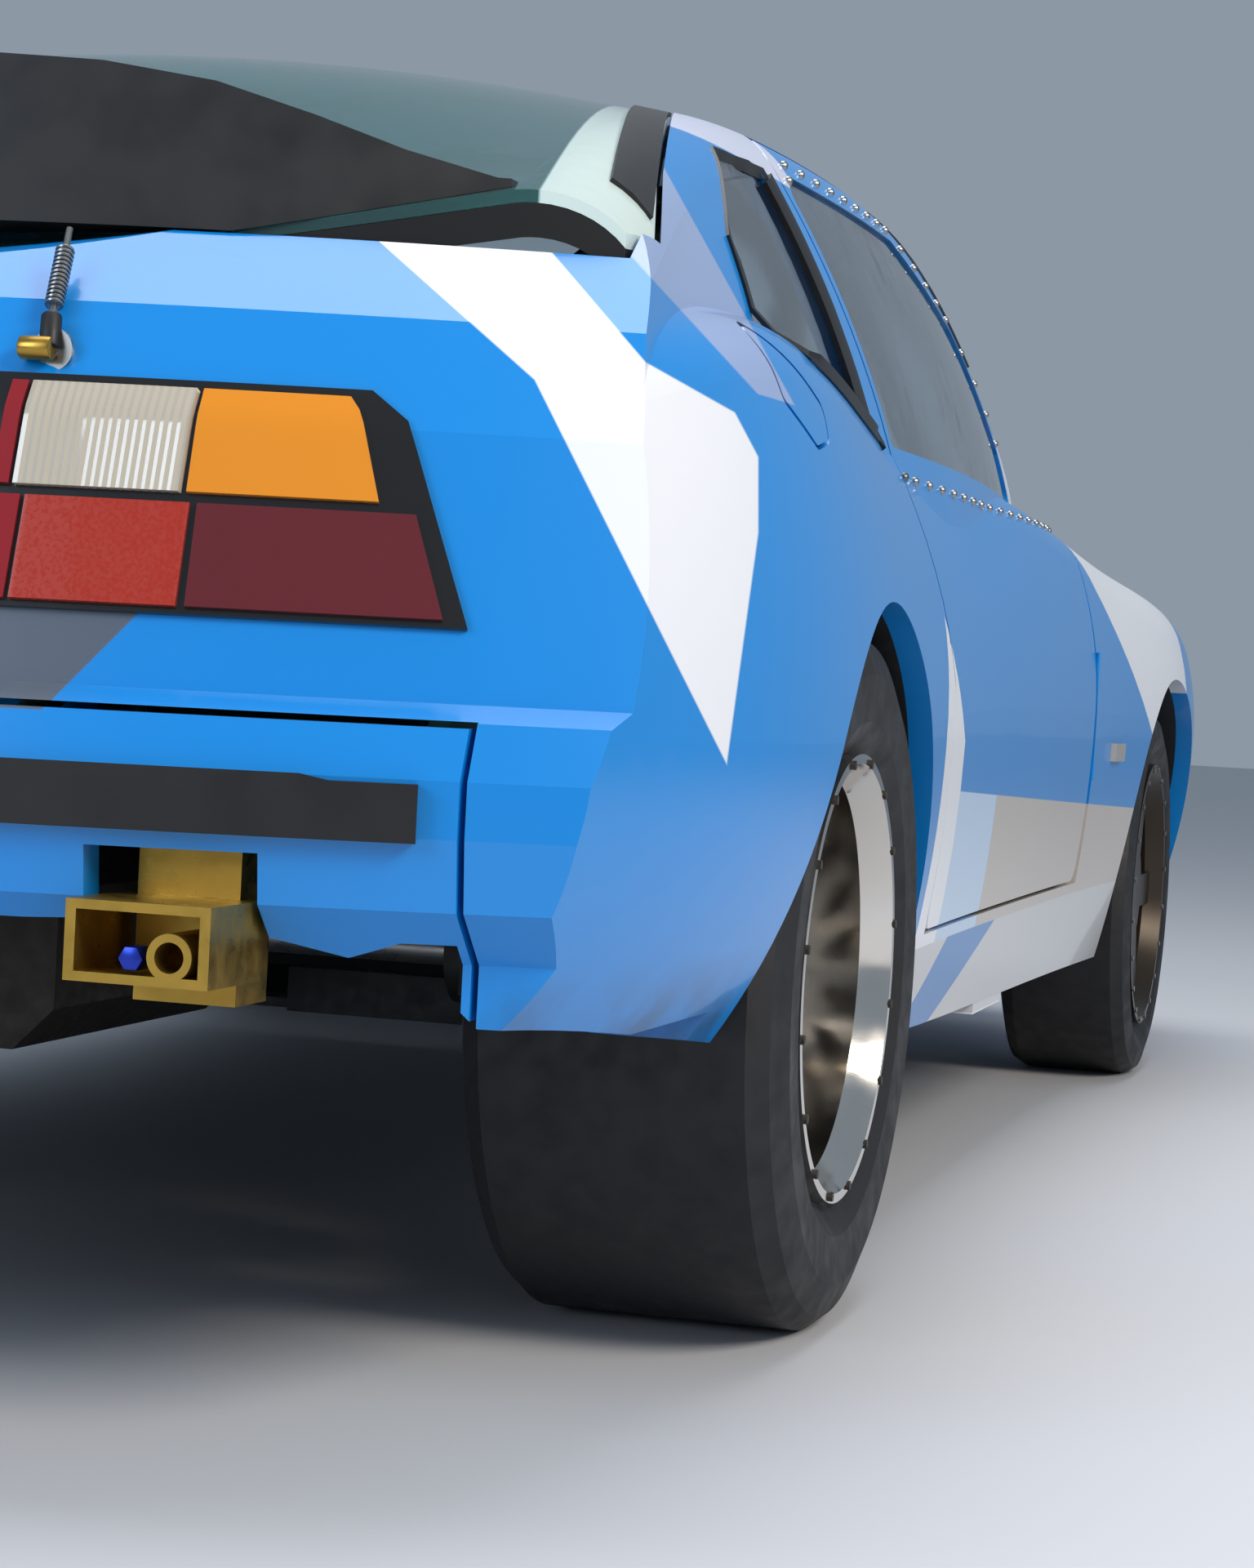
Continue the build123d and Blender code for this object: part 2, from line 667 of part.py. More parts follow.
    rear_panel = cut_from(
        shell, span_box((-LENGTH, -1850), (-705, 705), (BUMPER_Z, 1400)), "rear_panel", [hatch_cut]
    )
    pieces.append(rear_panel)
    rear_bumper = cut_from(
        shell, span_box((-LENGTH, REAR_BUMPER_FRONT_X), (-706, 706), (0, BUMPER_Z - GAP)), "rear_bumper",
        [under_tail, span_box((-2200, -1900), (-572, -452), (100, 462))],
    )
    seats = [span_box((-1942, -1912), y_range, (470, 530)) for y_range in ((-734, -690), (690, 734))]
    rear_bumper = joined([rear_bumper] + seats)
    rear_bumper.label = "rear_bumper"
    pieces.append(rear_bumper)

    hatch_keep = hatch_block(0)
    hole = hatch_block(-HATCH_RAIL)
    with BuildPart() as frame:
        add(cabin_form(GLASS_INSET + GLASS_THICKNESS + FIT))
        add(cabin_form(SKIN), mode=Mode.SUBTRACT)
        add(hatch_keep, mode=Mode.INTERSECT)
        add(hole, mode=Mode.SUBTRACT)
        add(span_box((-LENGTH, LENGTH), everywhere, (0, 880)), mode=Mode.SUBTRACT)
    frame.part.label = "hatch_frame"
    pieces.append(frame.part)
    pieces.append(cut_from(glazing, hatch_keep, "hatch_glass", [span_box((-LENGTH, LENGTH), everywhere, (0, 880))]))
    return pieces, inner, rear_arches, front_arches


def wheels_and_knuckles():
    """The eight parts of the wheels and the two front knuckles."""
    pieces = []
    rows = (
        ("front", FRONT_X, FRONT_TYRE_RADIUS, FRONT_TYRE_Y, FRONT_TYRE_WIDTH, FRONT_TREAD, FRONT_RIM_WIDTH,
         815.0, FRONT_DISC_Y, 5),
        ("rear", REAR_X, SLICK_RADIUS, SLICK_Y, SLICK_WIDTH, SLICK_TREAD, DEEP_RIM_WIDTH,
         712.0, REAR_DISC_Y, 8),
    )
    for end, x, radius, centre_y, width, tread, rim_width, face_y, disc_y, spokes in rows:
        for side_name, side in (("right", -1), ("left", 1)):
            tyre = wheel_ring(tyre_outline(radius, width, tread), x, radius, side, centre_y)
            tyre.label = f"tyre_{end}_{side_name}"
            rim = make_rim(
                f"rim_{end}_{side_name}", x, radius, side, centre_y, rim_width, face_y, disc_y, spokes
            )
            pieces += [tyre, rim]

    inner_face = FRONT_DISC_Y - DISC_THICKNESS / 2 - GAP
    with BuildPart() as upright:
        with BuildSketch(Plane.XZ.offset(inner_face - 34)):
            with BuildLine():
                Polyline(
                    (FRONT_X - 24, BALL[2] - 8), (FRONT_X + 24, BALL[2] - 8), (FRONT_X + 52, FRONT_TYRE_RADIUS),
                    (FRONT_X + 30, 400), (FRONT_X - 30, 400), (FRONT_X - 52, FRONT_TYRE_RADIUS), close=True,
                )
            make_face()
        extrude(amount=34)
    foot = span_box(
        (FRONT_X - 24, FRONT_X + 24), (-inner_face, -BALL[1] + 24), (BALL[2] - 8, BALL[2] + 30)
    )
    neck = span_box((FRONT_X - 30, FRONT_X + 30), (-inner_face + 14, -566), (370, 404))
    stub = axle_cylinder(FRONT_X, FRONT_TYRE_RADIUS, STUB_RADIUS, (-FRONT_TYRE_Y - 30, -inner_face + 4))
    damper = tube_path([(FRONT_X, -588, 380), (FRONT_X, -566, 610)], 25, 0)
    rod = tube_path([(FRONT_X, -567, 600), (FRONT_X, -STRUT_TOP[1], STRUT_TOP[2])], 11, 0)
    with BuildPart() as ball:
        with Locations((BALL[0], -BALL[1], BALL[2])):
            Sphere(BALL_RADIUS + FIT)
    with BuildPart() as top_ball:
        with Locations((STRUT_TOP[0], -STRUT_TOP[1], STRUT_TOP[2])):
            Sphere(BALL_RADIUS)
    with BuildPart() as knuckle:
        for part in (upright.part, foot, neck, stub, damper, rod, top_ball.part):
            add(part)
        add(ball.part, mode=Mode.SUBTRACT)
    knuckle.part.label = "knuckle_right"
    pieces += [knuckle.part, mirrored_copy(knuckle.part, "knuckle_left")]
    return pieces


def front_suspension():
    """Cross member, lower arms and strut towers."""
    member = span_box((FRONT_X - 50, FRONT_X + 50), (-330, 330), (190, 270 - FIT))
    sides = []
    for side in (1, -1):
        arm = tube_path([(FRONT_X, side * 300, 200), (FRONT_X, side * BALL[1], BALL[2] - 42)], ARM_RADIUS, 0)
        brace = tube_path([(FRONT_X + 40, side * 300, 205), (FRONT_X, side * BALL[1], BALL[2] - 42)], ARM_RADIUS, 0)
        pin = tube_path([(FRONT_X, side * BALL[1], BALL[2] - 50), (FRONT_X, side * BALL[1], BALL[2])], 9, 0)
        with BuildPart() as ball:
            with Locations((BALL[0], side * BALL[1], BALL[2])):
                Sphere(BALL_RADIUS)
        with BuildPart() as tower:
            with Locations((FRONT_X, side * STRUT_TOP[1], STRUT_TOP[2] + 2)):
                Box(110, 130, 36)
                Sphere(BALL_RADIUS + FIT, mode=Mode.SUBTRACT)
            with Locations((FRONT_X, side * STRUT_TOP[1], STRUT_TOP[2] - 18)):
                Cylinder(24, 40, mode=Mode.SUBTRACT)
        sides += [arm, brace, pin, ball.part, tower.part]
    leg = [
        span_box((FRONT_X - 50, FRONT_X + 50), (side * 400 - 20, side * 400 + 20), (190, STRUT_TOP[2] + 20)) for side in (1, -1)
    ]
    reach = [
        span_box(
            (FRONT_X - 50, FRONT_X + 50), (min(side * 330, side * 400), max(side * 330, side * 400)), (190, 270 - FIT)
        )
        for side in (1, -1)
    ]
    caps = [
        span_box(
            (FRONT_X - 50, FRONT_X + 50), (min(side * 400, side * 490), max(side * 400, side * 490)), (STRUT_TOP[2] - 16, STRUT_TOP[2] + 20)
        )
        for side in (1, -1)
    ]
    whole = joined([member] + sides + leg + reach + caps)
    whole.label = "front_suspension"
    return whole


def rear_suspension():
    """Torsion tube, trailing arms and stub axles."""
    tube = axle_cylinder(TORSION_TUBE_X, TORSION_TUBE_Z, TORSION_TUBE_RADIUS, (-TRAILING_ARM_Y, TRAILING_ARM_Y))
    parts = [tube]
    for side in (1, -1):
        y_low, y_high = sorted((side * (TRAILING_ARM_Y - 20), side * (TRAILING_ARM_Y + 16)))
        parts.append(span_box((REAR_X - 50, TORSION_TUBE_X), (y_low, y_high), (290, 352)))
        parts.append(axle_cylinder(REAR_X, SLICK_RADIUS, 52, tuple(sorted((side * 450, side * 552)))))
        parts.append(axle_cylinder(REAR_X, SLICK_RADIUS, STUB_RADIUS, tuple(sorted((side * 540, side * 660)))))
    whole = joined(parts)
    whole.label = "rear_suspension"
    return whole


def running_gear():
    """Engine, transaxle with its torque tube, drive shafts and exhaust box."""
    with BuildPart() as engine:
        with Locations((FRONT_X + 20, 0, 470)):
            Box(560, 420, 400)
        chamfer(engine.edges().filter_by(Axis.X), 50)
    engine.part.label = "engine_block"
    with BuildPart() as transaxle:
        with Locations((-1200, 0, 325)):
            Box(460, 300, 190)
        chamfer(transaxle.edges().filter_by(Axis.X), 40)
    gearbox = joined([
        transaxle.part,
        tube_path([(-980, 0, TORQUE_TUBE_Z), (FRONT_X - 260 - FIT, 0, TORQUE_TUBE_Z)], TORQUE_TUBE_RADIUS, 0),
    ])
    with BuildPart() as case:
        add(gearbox)
        add(axle_cylinder(TORSION_TUBE_X, TORSION_TUBE_Z, TORSION_TUBE_RADIUS + FIT, (-600, 600)), mode=Mode.SUBTRACT)
    case.part.label = "transaxle"
    shafts = Compound(children=[
        axle_cylinder(REAR_X, SLICK_RADIUS, HALF_SHAFT_RADIUS, tuple(sorted((side * 150.3, side * 449.7))))
        for side in (1, -1)
    ])
    shafts.label = "half_shafts"
    with BuildPart() as silencer:
        with Locations((-1870, 60, 330)):
            Box(230, 560, 130)
        fillet(silencer.edges().filter_by(Axis.Y), 50)
        with Locations((-1870, -120, 440), (-1870, 240, 440)):
            Box(30, 6, 2 * (REAR_FLOOR_Z - FIT - 440))
    silencer.part.label = "silencer"
    return [engine.part, case.part, shafts, silencer.part]


def floor_and_tubs(inner, rear_arches, front_arches):
    """Floor with its tunnel, rear floor, bulkhead and wheel tubs, each trimmed to the body's inside."""
    with BuildPart() as room:
        add(inner)
    room_form = room.part
    floor_plate = joined([
        span_box((-880, BULKHEAD_X), (-688, 688), (FLOOR_Z, FLOOR_Z + FLOOR_SKIN)),
        span_box((-880, BULKHEAD_X), (-120, 120), (FLOOR_Z, 400)),
        span_box((-890, -870), (-688, 688), (FLOOR_Z, REAR_FLOOR_Z + FLOOR_SKIN)),
    ])
    rear_plate = span_box((-1960, -870), (-494, 494), (REAR_FLOOR_Z, REAR_FLOOR_Z + FLOOR_SKIN))
    tunnel = joined([
        span_box((-900, BULKHEAD_X + 10), (-112, 112), (FLOOR_Z - 20, 392)),
        span_box((-900, -860), (-170, 170), (FLOOR_Z - 20, 440)),
    ])
    with BuildPart() as floor_pan:
        add(floor_plate)
        add(rear_plate)
        add(tunnel, mode=Mode.SUBTRACT)
        for side in (1, -1):
            tub_y = tuple(sorted((side * (REAR_TUB_Y - TUB_SKIN - FIT), side * 1000)))
            add(axle_cylinder(REAR_X, SLICK_RADIUS, REAR_ARCH_RADIUS + TUB_SKIN + FIT, tub_y), mode=Mode.SUBTRACT)
        add(axle_cylinder(TORSION_TUBE_X, TORSION_TUBE_Z, TORSION_TUBE_RADIUS + GAP, (-520, 520)), mode=Mode.SUBTRACT)
    floor_pan.part.label = "floor_pan"

    with BuildPart() as bulkhead:
        add(span_box((BULKHEAD_X, BULKHEAD_X + 8), (-900, 900), (FLOOR_Z, 1000)))
        add(room_form, mode=Mode.INTERSECT)
        add(span_box((0, LENGTH), (-70, 70), (0, TORQUE_TUBE_Z + 70)), mode=Mode.SUBTRACT)
        for y_range in ((688, 1000), (-1000, -688)):
            add(span_box((0, LENGTH), y_range, (0, DOOR_BOTTOM_Z)), mode=Mode.SUBTRACT)
    bulkhead.part.label = "bulkhead"

    with BuildPart() as tub:
        for side in (-1,):
            add(axle_cylinder(REAR_X, SLICK_RADIUS, REAR_ARCH_RADIUS + TUB_SKIN, (-900, -REAR_TUB_Y + TUB_SKIN)))
            add(room_form, mode=Mode.INTERSECT)
            add(rear_arches, mode=Mode.SUBTRACT)
            add(span_box((-2100, 0), (-900, -400), (0, 400)), mode=Mode.SUBTRACT)
    with BuildPart() as front_tub:
        add(axle_cylinder(FRONT_X, FRONT_TYRE_RADIUS, FRONT_ARCH_RADIUS + TUB_SKIN, (-900, -FRONT_TUB_Y)))
        add(room_form, mode=Mode.INTERSECT)
        add(front_arches, mode=Mode.SUBTRACT)
        add(span_box((0, 2100), (-900, -300), (0, 400)), mode=Mode.SUBTRACT)
        add(span_box((FRONT_X - 70, FRONT_X + 70), (-700, -300), (300, 900)), mode=Mode.SUBTRACT)
    pieces = [tub.part, mirrored_copy(tub.part, "a"), front_tub.part, mirrored_copy(front_tub.part, "b")]
    tubs = Compound(children=[solid for piece in pieces for solid in piece.solids()])
    tubs.label = "wheel_tubs"
    return [floor_pan.part, bulkhead.part, tubs]


def cabin_pieces():
    """Cage, seat, dashboard and steering wheel."""
    floor_top = FLOOR_Z + FLOOR_SKIN
    hoop = tube_path(
        [(HOOP_X, -HOOP_Y, floor_top), (HOOP_X, -HOOP_Y, HOOP_TOP_Z), (HOOP_X, HOOP_Y, HOOP_TOP_Z),
         (HOOP_X, HOOP_Y, floor_top)],
        CAGE_RADIUS, CAGE_BEND,
    )
    tubes = [hoop]
    for side in (1, -1):
        tubes.append(tube_path([(HOOP_X, side * 440, HOOP_TOP_Z), (-1250, side * 440, 495)], STAY_RADIUS, 0))
        tubes.append(tube_path(
            [(420, side * 600, floor_top), (420, side * 600, 860), (60, side * 540, 1110), (HOOP_X, side * 500, HOOP_TOP_Z)],
            STAY_RADIUS, CAGE_BEND,
        ))
    tubes.append(tube_path([(HOOP_X, HOOP_Y, 330), (HOOP_X, -420, HOOP_TOP_Z)], STAY_RADIUS, 0))
    tubes.append(tube_path([(HOOP_X, -HOOP_Y, 800), (HOOP_X, HOOP_Y, 800)], STAY_RADIUS, 0))
    with BuildPart() as trimmed:
        add(joined(tubes))
        add(span_box((-1400, -1100), (-600, 600), (300, REAR_FLOOR_Z + FLOOR_SKIN + FIT)), mode=Mode.SUBTRACT)
        add(span_box((-600, 600), (-700, 700), (100, floor_top + FIT)), mode=Mode.SUBTRACT)
    cage = trimmed.part
    cage.label = "roll_cage"

    with BuildPart() as seat:
        with BuildSketch(Plane.XZ.offset(-SEAT_Y - SEAT_WIDTH / 2)):
            with BuildLine():
                Polyline(
                    (210, floor_top), (210, 420), (170, 440), (-200, 390), (-290, 640), (-370, 1020), (-420, 1020),
                    (-400, 640), (-330, floor_top), close=True,
                )
            make_face()
        extrude(amount=SEAT_WIDTH)
        fillet(seat.edges().filter_by(Axis.Y).group_by(Axis.Z)[-1], 20)
    seat.part.label = "driver_seat"

    with BuildPart() as dashboard:
        with BuildSketch(Plane.YZ.offset(470)):
            with BuildLine():
                Polyline((-600, 640), (600, 640), (620, 820), (580, 848), (-580, 848), (-620, 820), close=True)
            make_face()
        extrude(amount=BULKHEAD_X - FIT - 470)

    tilt = Plane(origin=WHEEL_CENTRE, z_dir=(-cos(radians(COLUMN_TILT)), 0, sin(radians(COLUMN_TILT))))
    column_end = tilt.origin - tilt.z_dir * 330
    with BuildPart() as hand_wheel:
        with BuildSketch(Plane(origin=tilt.origin + tilt.x_dir * HAND_WHEEL_RADIUS, z_dir=tilt.y_dir)):
            Circle(16)
        revolve(axis=Axis(tilt.origin, tilt.z_dir))
    with BuildPart() as spoke_plate:
        with BuildSketch(tilt):
            with PolarLocations(0, 3):
                with Locations((HAND_WHEEL_RADIUS / 2, 0)):
                    Rectangle(HAND_WHEEL_RADIUS, 30)
            Circle(38)
        extrude(amount=4)
    column = tube_path([tuple(tilt.origin), tuple(column_end)], 18, 0)
    sleeve = tube_path([tuple(tilt.origin), tuple(column_end - tilt.z_dir * 10)], 18 + FIT, 0)
    with BuildPart() as bored:
        add(dashboard.part)
        add(sleeve, mode=Mode.SUBTRACT)
    bored.part.label = "dashboard"
    steering = joined([hand_wheel.part, spoke_plate.part, column])
    steering.label = "steering_wheel"
    return [cage, seat.part, bored.part, steering]


def tail_pieces():
    """Lamps, hatch lip, towing bracket and bumper strip."""
    def turned_band(label, outline, y_range):
        with BuildPart() as band:
            with BuildSketch(Plane.XZ):
                with BuildLine():
                    Polyline(outline, close=True)
                make_face()
            revolve(axis=Axis((TAIL_AXIS_X, 0, 0), (0, 0, 1)))
            add(span_box((-LENGTH, TAIL_AXIS_X), y_range, (0, 1400)), mode=Mode.INTERSECT)
        band.part.label = label
        return band.part

    end = -LENGTH / 2
    band = turned_band(
        "rear_spoiler",
        [(end + 374, 985), (end + 352, 1090), (end + 268, 1090), (end + 205, 928), (end + 374, 928)],
        (-748, 748),
    )
    with BuildPart() as trimmed:
        add(band)
        add(rear_block(SPOILER_TOP, (-LENGTH, -1400)), mode=Mode.INTERSECT)
        add(cabin_form(GLASS_INSET - FIT), mode=Mode.SUBTRACT)
    lip = trimmed.part.solids().sort_by(SortBy.VOLUME)[-1]
    lip.label = "rear_spoiler"
    with BuildPart() as bracket:
        with Locations((-2030, -512, 397)):
            Box(100, 110, 58)
        with Locations((-2040, -512, 397)):
            Box(120, 94, 44, mode=Mode.SUBTRACT)
        with Locations((-1960, -512, 420)):
            Box(60, 80, 2 * (REAR_FLOOR_Z - FIT - 420))
        with BuildSketch(Plane.YZ.offset(-2080)):
            with Locations((-537, 389)):
                Circle(17)
        extrude(amount=90)
        with BuildSketch(Plane.YZ.offset(-2080)):
            with Locations((-537, 389)):
                Circle(TOW_BORE_RADIUS)
        extrude(amount=TOW_BORE_LENGTH, mode=Mode.SUBTRACT)
    bracket.part.label = "tow_bracket"
    return [lip, bracket.part]


if __name__ == "__main__":
    panels, inner, rear_arches, front_arches = body_panels()
    pieces = panels
    pieces += wheels_and_knuckles()
    pieces += [front_suspension(), rear_suspension()]
    pieces += running_gear()
    pieces += floor_and_tubs(inner, rear_arches, front_arches)
    pieces += cabin_pieces()
    pieces += tail_pieces()
    export(pieces)
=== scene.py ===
# %% [markdown]
# # A drag car in blue, white and grey
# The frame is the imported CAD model. Every CAD piece keeps its place and its
# mesh. This lesson gives the pieces their paint, rubber, metal and glass, and
# adds the small things that show: lamps, strips, seals, rivets and latches.

# %% Load the frame
import math

import bpy
from mathutils import Matrix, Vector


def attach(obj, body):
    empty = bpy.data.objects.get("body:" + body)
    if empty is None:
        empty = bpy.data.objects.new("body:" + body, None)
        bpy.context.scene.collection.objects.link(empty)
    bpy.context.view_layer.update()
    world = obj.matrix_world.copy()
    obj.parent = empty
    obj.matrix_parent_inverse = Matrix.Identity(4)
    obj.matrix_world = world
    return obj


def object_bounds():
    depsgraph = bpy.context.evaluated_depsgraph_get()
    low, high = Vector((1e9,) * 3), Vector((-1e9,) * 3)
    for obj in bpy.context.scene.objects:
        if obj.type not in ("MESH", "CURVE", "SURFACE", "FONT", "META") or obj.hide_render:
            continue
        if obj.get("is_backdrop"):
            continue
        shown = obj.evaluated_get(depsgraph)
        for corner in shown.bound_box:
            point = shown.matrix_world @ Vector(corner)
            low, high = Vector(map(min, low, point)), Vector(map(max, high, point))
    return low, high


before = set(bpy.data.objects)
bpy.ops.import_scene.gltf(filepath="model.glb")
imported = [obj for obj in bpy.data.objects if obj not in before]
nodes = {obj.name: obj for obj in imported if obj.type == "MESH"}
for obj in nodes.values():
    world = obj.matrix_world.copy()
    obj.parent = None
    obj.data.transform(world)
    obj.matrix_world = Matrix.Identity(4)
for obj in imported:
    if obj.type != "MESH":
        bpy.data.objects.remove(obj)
cad_low, cad_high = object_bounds()
bpy.ops.object.select_all(action="DESELECT")
print("nodes:", len(nodes))

# %% [markdown]
# ## Small helpers
# Colours are written as they look on a screen, so one function makes them
# linear. One function adds a shader node and fills or links its sockets.

# %% Colours and shader nodes
def linear(code):
    """Linear colour from a code such as 1593d5."""
    parts = [int(code[i:i + 2], 16) / 255 for i in (0, 2, 4)]
    curved = [p / 12.92 if p <= 0.04045 else ((p + 0.055) / 1.055) ** 2.4 for p in parts]
    return curved + [1.0]


def add_node(tree, kind, *values, **settings):
    """Adds a shader node, links sockets and sets numbers, and returns its first output."""
    made = tree.nodes.new(kind)
    for key, value in settings.items():
        setattr(made, key, value)
    for socket, value in zip(made.inputs, values):
        if isinstance(value, bpy.types.NodeSocket):
            tree.links.new(value, socket)
        elif value is not None:
            socket.default_value = value
    return made.outputs[0]


def material(
    name, code, roughness=0.5, metallic=0.0, coat=0.0, transmission=0.0, noise=0.0, scale=60.0
):
    """A finish with its roughness varied a little by noise."""
    made = bpy.data.materials.new(name)
    made.use_nodes = True
    made.diffuse_color = linear(code)
    shader = made.node_tree.nodes["Principled BSDF"]
    shader.inputs["Base Color"].default_value = linear(code)
    shader.inputs["Roughness"].default_value = roughness
    shader.inputs["Metallic"].default_value = metallic
    shader.inputs["Coat Weight"].default_value = coat
    shader.inputs["Coat Roughness"].default_value = 0.04
    shader.inputs["Transmission Weight"].default_value = transmission
    if noise:
        tree = made.node_tree
        place = add_node(tree, "ShaderNodeTexCoord")
        place = place.node.outputs["Object"]
        grain = add_node(tree, "ShaderNodeTexNoise", place, None, scale)
        low = max(roughness - noise, 0.02)
        ramp = add_node(tree, "ShaderNodeMapRange", grain, 0.3, 0.7, low, roughness + noise)
        tree.links.new(ramp, shader.inputs["Roughness"])
    return made


print("helpers ready")

# %% [markdown]
# ## Plain finishes
# Each finish is named for the real material it stands for, and its comment
# says what it gives the eye.

# %% Plain finishes
slick_rubber = material("soft slick rubber", "17181c", 0.62, noise=0.12, scale=35)  # dull, a little mottled
moulded_rubber = material("moulded black rubber", "141416", 0.48, noise=0.08, scale=20)  # dark with a soft sheen
seal_rubber = material("window seal rubber", "0c0c0e", 0.42)  # plain near-black
polished_alloy = material("polished aluminium", "d6d2cc", 0.12, 1.0, noise=0.05, scale=18)  # mirrors the road and sky
bronze_alloy = material("dark bronze painted alloy", "3b342c", 0.35, 0.7)  # brown with a low gloss
cast_iron = material("cast iron", "4a4641", 0.55, 0.8, noise=0.1)  # rough grey brown
bare_steel = material("brushed steel", "9a9a98", 0.32, 1.0, noise=0.08)  # pale with fine uneven gloss
gold_zinc = material("gold passivated zinc plate", "b08d3e", 0.34, 0.9, noise=0.1)  # yellow metal, cloudy
blue_anodised = material("blue anodised bolt", "2a3fae", 0.3, 0.8)  # one small bright accent
black_steel = material("black painted steel", "1c1d20", 0.5, 0.2, noise=0.08)  # dark, half dull
dark_trim = material("dark moulded trim", "232427", 0.6, noise=0.05)  # matt dark grey
race_cloth = material("black woven cloth", "1b1c22", 0.85, noise=0.1, scale=200)  # takes no highlight
warm_steel = material("heat stained steel", "5a4c42", 0.45, 0.9, noise=0.15, scale=9)  # brown with cloudy patches
amber_lens = material("amber plastic lens", "e08a10", 0.12, coat=1.0)  # orange under a clear gloss
red_lens = material("red plastic lens", "8c0d18", 0.1, coat=1.0)  # red under a clear gloss
deep_red_lens = material("deep red plastic lens", "5e1018", 0.1, coat=1.0)  # darker red, same gloss
reflector_lens = material("red reflector plastic", "a3260f", 0.3, coat=0.6, noise=0.15, scale=300)  # sparkles with fine grain
clear_lens = material("clear ribbed plastic lens", "b8b0a0", 0.15, coat=1.0)  # pale, ribbed by its shape
lens_black = material("black lamp surround", "0d0b0c", 0.25, coat=0.6)  # black gloss round the lenses
acrylic = material("clear acrylic sheet", "dfe9ee", 0.04, transmission=1.0)  # sharp, nearly without colour
print("finishes:", len(bpy.data.materials))

# %% [markdown]
# ## Paint with its livery
# The stripes are cut by flat planes in the car's own coordinates. Each plane
# is a direction and a distance in metres. A point is inside where the value is
# above the distance. The left side mirrors the right.

# %% Livery planes
PLANES = {
    "band_left_high": ((0.1206, -0.6136, 0.7803), 0.8516),
    "band_left_low": ((0.2176, -0.8418, 0.4940), 0.5998),
    "band_right_high": ((-0.1306, 0.7137, -0.6882), -0.8998),
    "band_right_mid": ((-0.0372, 0.4480, -0.8933), -1.0324),
    "band_corner": ((-0.1660, 0.8423, -0.5129), -0.8313),
    "band_front": ((-0.2285, 0.9721, -0.0537), -0.4782),
    "band_tip": ((-0.2341, 0.9687, 0.0824), -0.3680),
    "wedge_left": ((0.1036, -0.6927, 0.7137), 0.9993),
    "wedge_right": ((-0.1463, 0.8365, -0.5280), -0.9157),
    "patch": ((-0.3075, 0.6789, 0.6667), 0.7177),
    "behind_band": ((-1.0, 0.0, 0.0), 1.30),
    "behind_wedge": ((-1.0, 0.0, 0.0), 1.05),
    "above_shoulder": ((0.0, 0.0, 1.0), 0.835),
    "under_lamps": ((0.0, 0.0, -1.0), -0.629),
    "on_tail": ((-1.0, 0.0, 0.0), 1.90),
    "above_bumper": ((0.0, 0.0, 1.0), 0.556),
    "low_door": ((-0.0355, 0.0, -1.0), -0.4735),
    "greige_rear": ((1.0, 0.0, 0.0), -0.33),
    "pale_front": ((-1.0, 0.0, 0.0), 0.33),
    "pale_rear": ((1.0, 0.0, 0.0), -0.62),
    "sliver_front": ((-1.0, 0.0, 0.0), 0.62),
    "sliver_rear": ((1.0, 0.0, 0.0), -0.77),
    "sliver_top": ((-0.66, 0.0, -0.75), -0.0035),
    "on_sill": ((0.0, 0.0, -1.0), -0.329),
    "ahead_rear_wheel": ((1.0, 0.0, 0.0), -0.86),
    "sill_band_rear": ((0.43, 0.0, -0.90), -0.523),
    "sill_band_front": ((-0.28, 0.0, 0.96), 0.366),
    "wing_patch": ((0.459, 0.0, 0.888), 0.955),
    "wing_patch_front": ((-1.0, 0.0, 0.0), -1.36),
    "on_wing": ((1.0, 0.0, 0.0), 0.52),
    "rail": ((0.0, 0.0, 1.0), 1.10),
    "rail_front": ((-1.0, 0.0, 0.0), 0.92),
    "behind_front_arch": ((-1.0, 0.0, 0.0), -1.45),
    "plate_low": ((0.0, 0.0, -1.0), -0.2125),
    "plate_rear": ((1.0, 0.0, 0.0), -0.19),
    "plate_front": ((-1.0, 0.0, 0.0), -0.03),
    # Plane for the part of the tail where the paint turns darker in patches towards the bottom.
    "dark_patches_rear": ((-1.0, 0.0, 0.0), 1.50),
}
LAYERS = (
    ("e9edf5", (("band_left_high", "band_left_low"), ("band_right_high", "band_right_mid"), ("band_corner",),
                ("band_front",), ("band_tip",), ("behind_band",))),
    ("8fa6d3", (("wedge_left",), ("wedge_right",), ("behind_wedge",), ("above_shoulder",))),
    ("55606f", (("patch",), ("under_lamps",), ("on_tail",), ("above_bumper",))),
    ("ccd3ec", (("rail",), ("rail_front",))),
    ("bfb9b3", (("low_door",), ("greige_rear",), ("behind_front_arch",))),
    ("bcd6f3", (("low_door",), ("pale_rear",), ("pale_front",))),
    ("eceff6", (("sliver_front",), ("sliver_rear",), ("sliver_top",))),
    ("c9ccd0", (("on_sill",), ("behind_front_arch",), ("ahead_rear_wheel",))),
    ("1478c4", (("on_sill",), ("sill_band_rear",), ("sill_band_front",), ("ahead_rear_wheel",))),
    ("eceff6", (("wing_patch",), ("wing_patch_front",), ("on_wing",))),
    ("f2f4f6", (("plate_low",), ("plate_rear",), ("plate_front",))),
)
EDGE = 700.0  # how sharply a stripe ends, in colour steps per metre


